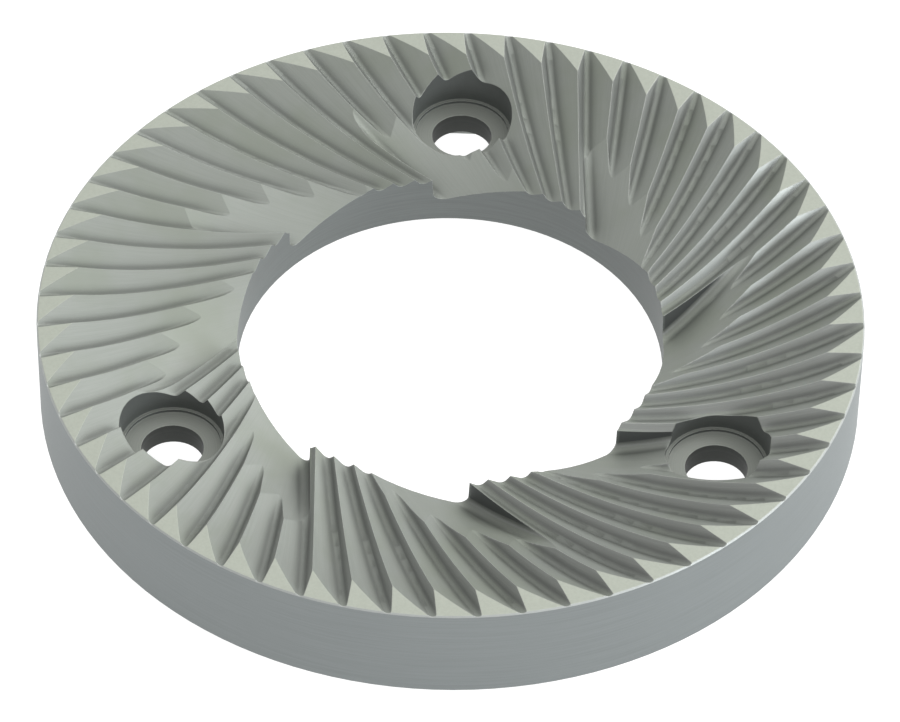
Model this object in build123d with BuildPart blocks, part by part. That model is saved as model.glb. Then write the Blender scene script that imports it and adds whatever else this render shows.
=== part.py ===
from build123d import *
import os
from math import asin, cos, degrees, radians, sin, tan

# A flat grinding burr: one hardened steel ring whose upper face is ground into slanted teeth.
# Millimetres and degrees. The ring stands on its back rim at z = 0, with its axis on Z and its
# teeth up. One screw hole is on +Y.

# Ring blank
ring_radius = 32.0
ring_height = 8.4
bore_radius = 16.6
top_edge_break = 0.12
back_edge_break = 0.3
bore_edge_break = 0.1

# Back recess, which leaves a narrow seating rim at the outside
recess_radius = 28.6
recess_depth = 2.1

# Screw holes: counterbore, a short step below it, a dished seat, the through hole and a
# countersink at the back
screw_count = 3
screw_circle_radius = 24.0
screw_start_angle = 90.0
screw_hole_radius = 2.4
counterbore_radius = 4.0
counterbore_floor = 4.7
seat_radius = 3.75
seat_top = 4.45
seat_bottom = 4.35
countersink_depth = 0.45

# Tooth gaps: a V wheel plunged along a line that passes to one side of the ring's axis.
# travel is how far from the rim the wheel reaches its full depth; the depth is the sharp V's.
tooth_count = 60
tooth_start_angle = 0.14
tooth_line_offset = 10.52
tooth_wheel_radius = 37.5
tooth_wheel_travel = 13.33
tooth_wheel_depth = 2.66
tooth_face_lean = 34.0
tooth_flank_lean = 56.6
tooth_root_radius = 0.38

# Feed pockets: a smaller, wider wheel that opens the inner zone towards the bore
pocket_count = 8
pocket_start_angle = 28.4
pocket_line_offset = 11.07
pocket_wheel_radius = 26.0
pocket_wheel_travel = 19.6
pocket_wheel_depth = 4.44
pocket_wall_lean = 2.0
pocket_floor_lean = 64.9
pocket_root_radius = 0.58

# How far a wheel's rim section reaches above the toothed face
wheel_clearance = 0.6


def wheel(tip_angle, line_offset, travel, radius, depth, steep_lean, shallow_lean, root_radius):
    """Rim of the V-shaped wheel that makes one cut, standing where it cuts deepest.

    The cut's line starts at the rim at tip_angle and passes line_offset from the ring's axis.
    The leans are measured from the wheel's own plane.
    """
    heading = radians(tip_angle + 180 + degrees(asin(line_offset / ring_radius)))
    along = Vector(cos(heading), sin(heading), 0)
    across = Vector(sin(heading), -cos(heading), 0)
    tip = Vector(ring_radius, 0, 0).rotate(Axis.Z, tip_angle)
    axle = tip + along * travel + Vector(0, 0, ring_height - depth + radius)
    rim_height = depth + wheel_clearance
    with BuildPart() as rim:
        with BuildSketch(Plane(origin=axle, x_dir=across, z_dir=along * -1)) as section:
            with BuildLine():
                Polyline(
                    (rim_height * tan(radians(steep_lean)), radius - rim_height),
                    (0, radius),
                    (-rim_height * tan(radians(shallow_lean)), radius - rim_height),
                    close=True,
                )
            make_face()
            fillet(section.vertices().sort_by(Axis.Y)[-1], root_radius)
        revolve(axis=Axis(axle, across))
    return rim.part


tooth_wheel = wheel(
    tooth_start_angle,
    tooth_line_offset,
    tooth_wheel_travel,
    tooth_wheel_radius,
    tooth_wheel_depth,
    tooth_face_lean,
    tooth_flank_lean,
    tooth_root_radius,
)
pocket_wheel = wheel(
    pocket_start_angle,
    pocket_line_offset,
    pocket_wheel_travel,
    pocket_wheel_radius,
    pocket_wheel_depth,
    pocket_wall_lean,
    pocket_floor_lean,
    pocket_root_radius,
)

# Everything that one screw hole removes, turned about Z
with BuildPart() as screw_hole:
    with BuildSketch(Plane.XZ):
        with BuildLine():
            Polyline(
                (0, recess_depth),
                (screw_hole_radius + countersink_depth, recess_depth),
                (screw_hole_radius, recess_depth + countersink_depth),
                (screw_hole_radius, seat_bottom),
                (seat_radius, seat_top),
                (seat_radius, counterbore_floor),
                (counterbore_radius, counterbore_floor),
                (counterbore_radius, ring_height),
                (0, ring_height),
                close=True,
            )
        make_face()
    revolve(axis=Axis.Z)

with BuildPart() as grinding_burr:
    # Blank: half section of the ring with its back recess, turned about Z
    with BuildSketch(Plane.XZ) as ring_section:
        with BuildLine():
            Polyline(
                (bore_radius, recess_depth),
                (recess_radius, recess_depth),
                (recess_radius, 0),
                (ring_radius, 0),
                (ring_radius, ring_height),
                (bore_radius, ring_height),
                close=True,
            )
        make_face()
        levels = ring_section.vertices().group_by(Axis.Y)
        chamfer(levels[0], back_edge_break)
        chamfer(levels[1].sort_by(Axis.X)[0], bore_edge_break)
        chamfer(levels[-1].sort_by(Axis.X)[-1], top_edge_break)
    revolve(axis=Axis.Z)

    with PolarLocations(screw_circle_radius, screw_count, screw_start_angle):
        add(screw_hole.part, mode=Mode.SUBTRACT)

    # Teeth: each gap in turn, then the deeper feed pockets
    for gap in range(tooth_count):
        add(tooth_wheel.rotate(Axis.Z, gap * 360 / tooth_count), mode=Mode.SUBTRACT)
    for pocket in range(pocket_count):
        add(pocket_wheel.rotate(Axis.Z, pocket * 360 / pocket_count), mode=Mode.SUBTRACT)

grinding_burr.part.label = "grinding_burr"

os.makedirs("parts", exist_ok=True)
export_step(grinding_burr.part, "parts/grinding_burr.step")
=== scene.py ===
import bpy
import math
from mathutils import Matrix, Vector


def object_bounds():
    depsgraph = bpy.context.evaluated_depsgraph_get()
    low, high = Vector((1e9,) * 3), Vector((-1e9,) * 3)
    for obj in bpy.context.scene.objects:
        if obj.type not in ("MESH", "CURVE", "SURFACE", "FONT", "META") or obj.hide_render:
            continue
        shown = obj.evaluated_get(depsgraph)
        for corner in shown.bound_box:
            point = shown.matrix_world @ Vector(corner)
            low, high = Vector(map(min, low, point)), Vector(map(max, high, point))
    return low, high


MM = 0.001

# Dimensions of the part that its material follows, in metres
RING_R = 32.0 * MM
RING_H = 8.4 * MM
BORE_R = 16.6 * MM
HOLE_COUNT = 3
HOLE_CIRCLE = 24.0 * MM
HOLE_START = 90.0
COUNTERBORE_R = 4.0 * MM
SCREW_HOLE_R = 2.4 * MM
RECESS_DEPTH = 2.1 * MM
TOOTH_OFFSET = 10.52 * MM
TOOTH_COUNT = 60

# Steel colours, linear. A pair is the dark and the light of the marks in that surface.
TOOTH_FACE = ((0.262, 0.279, 0.256), (0.305, 0.323, 0.298))
# Steep tooth faces get a lighter colour than the other tooth faces: painted light on faces that lean away
# from the lamps.
STEEP_FACE_PAINTED_LIGHT = ((0.300, 0.311, 0.296), (0.345, 0.357, 0.340))
TOOTH_TIP = ((0.378, 0.402, 0.348), (0.410, 0.434, 0.378))
OUTER_SIDE = ((0.202, 0.220, 0.220), (0.242, 0.262, 0.262))
BACK = ((0.250, 0.266, 0.252), (0.300, 0.318, 0.302))
BORE_WALL = ((0.150, 0.162, 0.159), (0.186, 0.201, 0.197))
HOLE_SEAT = ((0.235, 0.248, 0.226), (0.280, 0.296, 0.270))
COUNTERBORE_WALL = (0.150, 0.160, 0.154)
# Near-black colour on the screw through-hole walls: painted shade inside the holes.
SCREW_HOLE_PAINTED_SHADE = (0.062, 0.066, 0.062)
# Dark colour on the near-vertical walls in the teeth: painted shade on the pocket walls.
POCKET_WALL_PAINTED_SHADE = (0.135, 0.141, 0.143)
# Light colour on the rim chamfer: a painted highlight line along the rim.
RIM_PAINTED_HIGHLIGHT = (0.400, 0.418, 0.405)
# Darker colour where the tooth roots are occluded: painted shade in the roots, which also damps their
# highlight.
ROOT_PAINTED_SHADE = (0.105, 0.112, 0.104)
HOLLOW_SHADE = (0.070, 0.074, 0.070)
STAIN_TINT = (0.235, 0.262, 0.205)
# Lighter colour on convex edges: edge wear that is also a painted highlight along the crests.
BARE_EDGE_AND_HIGHLIGHT = (0.50, 0.52, 0.49)

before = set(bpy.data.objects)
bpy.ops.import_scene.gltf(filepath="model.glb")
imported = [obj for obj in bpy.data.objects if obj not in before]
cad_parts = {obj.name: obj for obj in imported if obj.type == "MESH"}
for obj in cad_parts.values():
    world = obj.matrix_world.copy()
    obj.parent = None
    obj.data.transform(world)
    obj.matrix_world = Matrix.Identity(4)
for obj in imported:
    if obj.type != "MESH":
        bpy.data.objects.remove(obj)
cad_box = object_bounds()
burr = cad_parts["grinding_burr"]


class Graph:
    """Small helper that adds shader nodes and wires them."""

    def __init__(self, name):
        self.mat = bpy.data.materials.new(name)
        self.mat.use_nodes = True
        self.tree = self.mat.node_tree
        self.tree.nodes.clear()

    def node(self, kind, inputs=None, **props):
        n = self.tree.nodes.new(kind)
        for k, v in props.items():
            setattr(n, k, v)
        for k, v in (inputs or {}).items():
            self.feed(n.inputs[k], v)
        return n

    def feed(self, socket, value):
        if isinstance(value, bpy.types.NodeSocket):
            self.tree.links.new(value, socket)
        elif socket.type == "RGBA" and len(value) == 3:
            socket.default_value = (*value, 1.0)
        else:
            socket.default_value = value

    def math(self, op, a, b=0.0, clamp=False):
        return self.node("ShaderNodeMath", {0: a, 1: b, 2: 0.0}, operation=op, use_clamp=clamp).outputs[0]

    def add(self, a, b):
        return self.math("ADD", a, b)

    def times(self, a, b):
        return self.math("MULTIPLY", a, b)

    def length(self, a, b):
        return self.math("SQRT", self.add(self.times(a, a), self.times(b, b)))

    def without(self, mask):
        return self.math("SUBTRACT", 1.0, mask, clamp=True)

    def ramp(self, value, lo, hi, out_lo=0.0, out_hi=1.0):
        n = self.node("ShaderNodeMapRange", {"Value": value, "From Min": lo, "From Max": hi,
                                            "To Min": out_lo, "To Max": out_hi})
        n.interpolation_type = "SMOOTHSTEP"
        return n.outputs["Result"]

    def mix(self, fac, a, b):
        n = self.node("ShaderNodeMix", {"Factor": fac}, data_type="RGBA")
        self.feed(n.inputs[6], a)
        self.feed(n.inputs[7], b)
        return n.outputs[2]

    def blend(self, fac, a, b):
        return self.add(self.times(a, self.math("SUBTRACT", 1.0, fac)), self.times(b, fac))

    def noise(self, vector, scale, detail=3.0, rough=0.55):
        return self.node("ShaderNodeTexNoise", {"Vector": vector, "Scale": scale, "Detail": detail,
                                                "Roughness": rough}).outputs["Fac"]

    def openness(self, distance, samples):
        return self.node("ShaderNodeAmbientOcclusion", {"Distance": distance}, samples=samples).outputs["AO"]

    def xyz(self, x, y, z):
        return self.node("ShaderNodeCombineXYZ", {0: x, 1: y, 2: z}).outputs[0]


class Surface:
    """Where each kind of surface is, as masks from 0 to 1."""

    def __init__(self, g):
        self.normal = g.node("ShaderNodeNewGeometry").outputs["Normal"]
        self.place = g.node("ShaderNodeTexCoord").outputs["Object"]
        x, y, self.z = g.node("ShaderNodeSeparateXYZ", {0: self.place}).outputs
        up = g.node("ShaderNodeSeparateXYZ", {0: self.normal}).outputs[2]
        self.r = g.length(x, y)
        self.theta = g.math("ARCTAN2", y, x)
        self.hole_near = self.nearest_hole(g, x, y)

        self.upright = g.ramp(g.math("ABSOLUTE", up), 0.25, 0.12)
        self.outside = g.times(self.upright, g.ramp(self.r, RING_R - 0.2 * MM, RING_R - 0.1 * MM))
        self.rear = g.times(g.ramp(self.z, RECESS_DEPTH + 0.05 * MM, RECESS_DEPTH + 0.02 * MM),
                            g.without(self.outside))
        self.in_hole = g.times(g.ramp(self.hole_near, COUNTERBORE_R + 0.06 * MM, COUNTERBORE_R + 0.02 * MM),
                               g.without(self.rear))
        self.through = g.times(self.upright,
                               g.ramp(self.hole_near, SCREW_HOLE_R + 0.10 * MM, SCREW_HOLE_R + 0.04 * MM))
        self.bore = g.times(self.upright, g.ramp(self.r, BORE_R + 0.2 * MM, BORE_R + 0.08 * MM))
        self.turned = g.math("MAXIMUM", g.math("MAXIMUM", self.outside, self.in_hole),
                             g.math("MAXIMUM", self.bore, self.rear))

        toothed = g.without(self.turned)
        self.lapped = g.times(g.ramp(up, 0.995, 0.9995),
                              g.ramp(self.z, RING_H - 0.03 * MM, RING_H - 0.01 * MM))
        self.rim = g.times(g.ramp(self.r, RING_R - 0.14 * MM, RING_R - 0.11 * MM), g.ramp(up, 0.35, 0.55))
        self.steep = g.times(g.ramp(up, 0.80, 0.58), toothed)
        self.wall = g.times(g.ramp(up, 0.20, 0.08), toothed)
        # Occlusion in the tooth roots; the colour uses it for painted shade.
        self.root = g.times(g.ramp(g.openness(1.2 * MM, 8), 0.95, 0.72), toothed)
        self.open = g.ramp(g.openness(2.2 * MM, 6), 0.25, 0.95)

    @staticmethod
    def nearest_hole(g, x, y):
        near = None
        for k in range(HOLE_COUNT):
            a = math.radians(HOLE_START + 360 / HOLE_COUNT * k)
            d = g.length(g.math("SUBTRACT", x, HOLE_CIRCLE * math.cos(a)),
                         g.math("SUBTRACT", y, HOLE_CIRCLE * math.sin(a)))
            near = d if near is None else g.math("MINIMUM", near, d)
        return near


class Marks:
    """What tools and use left: wheel lines in the teeth, rings on turned surfaces, grain and stain."""

    FINE = 9000.0

    def __init__(self, g, on):
        # A tooth gap is a straight line that passes the axis at TOOTH_OFFSET, so each has its own phase
        swirl = g.math("SUBTRACT", g.math("ARCSINE", g.math("DIVIDE", TOOTH_OFFSET, on.r)),
                       math.asin(TOOTH_OFFSET / RING_R))
        phase = g.times(g.add(on.theta, swirl), TOOTH_COUNT / (2 * math.pi))
        along = g.xyz(g.times(phase, 42.0), g.times(on.r, 130.0), g.times(on.z, 900.0))
        lines = g.noise(along, 1.0, 4.0, 0.62)
        self.broad = g.noise(g.xyz(g.times(phase, 6.0), g.times(on.r, 90.0), on.z), 1.0, 2.0, 0.5)

        height = g.times(on.z, self.FINE)
        round_axis = g.xyz(g.times(on.theta, 3.0), g.times(on.r, self.FINE), height)
        round_hole = g.xyz(g.times(on.hole_near, self.FINE), 4.0, height)
        self.rings = g.noise(g.mix(on.in_hole, round_axis, round_hole), 1.0, 3.0, 0.6)

        self.grain = g.noise(on.place, 5200.0, 3.0, 0.6)
        self.stain = g.noise(on.place, 130.0, 3.0, 0.55)
        self.tool = g.blend(on.turned, lines, self.rings)


def worn_edges_and_highlight(g, on, marks, soft_normal):
    """Where a rounded normal turns away from the surface's own, but not in a root: worn bare edges, which
    also paint a highlight along the crests.
    """
    turn = g.node("ShaderNodeVectorMath", {0: soft_normal, 1: on.normal},
                  operation="DOT_PRODUCT").outputs["Value"]
    convex = g.times(g.ramp(turn, 0.99, 0.90), g.ramp(g.openness(0.30 * MM, 8), 0.88, 0.98))
    return g.times(convex, g.ramp(marks.grain, 0.25, 0.60))


def steel_colour(g, on, marks, edges):
    by_tool = g.ramp(marks.tool, 0.3, 0.7)
    by_rings = g.ramp(marks.rings, 0.3, 0.7)
    by_grain = g.ramp(marks.grain, 0.35, 0.65)

    teeth = g.mix(by_tool, *TOOTH_FACE)
    teeth = g.mix(g.times(g.ramp(marks.stain, 0.42, 0.68), 0.4), teeth, STAIN_TINT)
    # Painted light: steep faces are coloured lighter than the rest of the teeth.
    teeth = g.mix(on.steep, teeth, g.mix(by_tool, *STEEP_FACE_PAINTED_LIGHT))
    # Painted shade in the occluded tooth roots.
    teeth = g.mix(g.times(on.root, 0.52), teeth, ROOT_PAINTED_SHADE)
    # Painted shade on the near-vertical pocket walls.
    teeth = g.mix(on.wall, teeth, POCKET_WALL_PAINTED_SHADE)
    teeth = g.mix(on.open, g.mix(0.30, teeth, HOLLOW_SHADE), teeth)

    colour = g.mix(on.outside, teeth, g.mix(by_rings, *OUTER_SIDE))
    colour = g.mix(on.rear, colour, g.mix(by_rings, *BACK))
    colour = g.mix(on.in_hole, colour, g.mix(by_rings, *HOLE_SEAT))
    colour = g.mix(g.times(on.upright, on.in_hole), colour, COUNTERBORE_WALL)
    # Painted shade inside the screw through-holes.
    colour = g.mix(on.through, colour, SCREW_HOLE_PAINTED_SHADE)
    # Painted highlight along the rim chamfer.
    colour = g.mix(on.rim, colour, RIM_PAINTED_HIGHLIGHT)
    colour = g.mix(on.bore, colour, g.mix(by_rings, *BORE_WALL))
    colour = g.mix(on.lapped, colour, g.mix(by_grain, *TOOTH_TIP))
    # Worn edges, also a painted highlight along the crests.
    return g.mix(g.times(edges, 0.45), colour, BARE_EDGE_AND_HIGHLIGHT)


def steel_roughness(g, on, marks):
    rough = g.blend(on.lapped, g.ramp(marks.tool, 0.25, 0.75, 0.50, 0.62),
                    g.ramp(marks.grain, 0.3, 0.7, 0.42, 0.52))
    rough = g.add(rough, g.times(marks.stain, 0.06))
    rough = g.add(rough, g.times(on.root, 0.06))
    return g.math("SUBTRACT", rough, g.times(on.steep, 0.14))


def steel_height(g, on, marks):
    height = g.add(g.times(marks.tool, 1.0), g.times(marks.broad, 0.6))
    height = g.add(height, g.times(marks.grain, 0.25))
    return g.blend(on.lapped, height, g.times(marks.grain, 0.2))


def steel():
    g = Graph("hardened_steel_ground")
    on = Surface(g)
    marks = Marks(g, on)
    radius = g.ramp(on.root, 0.2, 0.8, 0.07 * MM, 0.24 * MM)
    soft_normal = g.node("ShaderNodeBevel", {"Radius": radius}, samples=12).outputs[0]
    edges = worn_edges_and_highlight(g, on, marks, soft_normal)
    bump = g.node("ShaderNodeBump", {"Strength": 0.22, "Distance": 0.008 * MM,
                                     "Height": steel_height(g, on, marks), "Normal": soft_normal})
    shader = g.node("ShaderNodeBsdfPrincipled", {"Base Color": steel_colour(g, on, marks, edges),
                                                 "Roughness": steel_roughness(g, on, marks),
                                                 "Metallic": 0.75, "Normal": bump.outputs[0]})
    g.node("ShaderNodeOutputMaterial", {"Surface": shader.outputs[0]})
    return g.mat


burr.data.materials.clear()
burr.data.materials.append(steel())


# Floor
def floor_material():
    g = Graph("floor_paper")
    place = g.node("ShaderNodeTexCoord").outputs["Object"]
    tone = g.mix(g.noise(place, 900.0), (0.26, 0.26, 0.26), (0.30, 0.30, 0.30))
    shader = g.node("ShaderNodeBsdfPrincipled", {"Base Color": tone, "Roughness": 0.9,
                                                 "Emission Color": (1, 1, 1), "Emission Strength": 0.95})
    g.node("ShaderNodeOutputMaterial", {"Surface": shader.outputs[0]})
    return g.mat


def make_floor(half, gap):
    """A square that far below the part, so the two don't share a plane."""
    mesh = bpy.data.meshes.new("floor")
    corners = [(-half, -half, 0), (half, -half, 0), (half, half, 0), (-half, half, 0)]
    mesh.from_pydata(corners, [], [(0, 1, 2, 3)])
    mesh.materials.append(floor_material())
    floor = bpy.data.objects.new("floor", mesh)
    floor.location = (0, 0, cad_box[0][2] - gap)
    bpy.context.scene.collection.objects.link(floor)
    return floor


floor = make_floor(half=3.0, gap=0.2 * MM)


# Light
def area(name, at, size, power, colour):
    light = bpy.data.lights.new(name, "AREA")
    light.shape = "RECTANGLE"
    light.size, light.size_y = size
    light.energy = power
    light.color = colour
    lamp = bpy.data.objects.new(name, light)
    lamp.location = at
    lamp.rotation_euler = (-Vector(at)).to_track_quat("-Z", "Y").to_euler()
    bpy.context.scene.collection.objects.link(lamp)


area("key_back_right", (0.55, 0.45, 0.60), (0.60, 0.45), 2.4, (1.0, 1.0, 1.0))
area("low_right", (0.80, -0.355, 0.218), (0.32, 0.30), 3.4, (0.90, 0.96, 1.0))
area("top", (0.0, -0.10, 0.9), (0.6, 0.6), 1.2, (1.0, 1.0, 0.97))


def studio(brightest_way, darkest, brightest):
    """A white surround that is brighter towards one way."""
    world = bpy.data.worlds.new("studio")
    world.use_nodes = True
    tree = world.node_tree
    way = tree.nodes.new("ShaderNodeTexCoord")
    lean = tree.nodes.new("ShaderNodeVectorMath")
    lean.operation = "DOT_PRODUCT"
    lean.inputs[1].default_value = brightest_way
    tree.links.new(way.outputs["Generated"], lean.inputs[0])
    level = tree.nodes.new("ShaderNodeMapRange")
    level.interpolation_type = "SMOOTHSTEP"
    for key, value in (("From Min", -0.6), ("From Max", 0.9), ("To Min", darkest), ("To Max", brightest)):
        level.inputs[key].default_value = value
    tree.links.new(lean.outputs["Value"], level.inputs["Value"])
    background = tree.nodes["Background"]
    tree.links.new(level.outputs["Result"], background.inputs["Strength"])
    background.inputs["Color"].default_value = (1.0, 1.0, 1.0, 1)
    return world


bpy.context.scene.world = studio((0.80, 0.35, 0.48), darkest=0.70, brightest=1.18)
bpy.context.scene.view_settings.view_transform = "Standard"

# Camera
AZIMUTH = math.radians(-88.43)
ELEVATION = math.radians(45.39)
ROLL = math.radians(0.95)
REACH = 453.3 * MM
TARGET = Vector((-0.074, 2.699, 0.0)) * MM

look = Vector((math.cos(ELEVATION) * math.cos(AZIMUTH),
               math.cos(ELEVATION) * math.sin(AZIMUTH),
               math.sin(ELEVATION)))
cam = bpy.data.cameras.new("camera")
cam.sensor_width = 36.0
cam.lens = 230.4
cam.clip_start = 0.01
cam_obj = bpy.data.objects.new("camera", cam)
aim = look.to_track_quat("Z", "Y").to_matrix().to_4x4()
cam_obj.matrix_world = Matrix.Translation(TARGET + look * REACH) @ aim @ Matrix.Rotation(ROLL, 4, "Z")
bpy.context.scene.collection.objects.link(cam_obj)
bpy.context.scene.camera = cam_obj
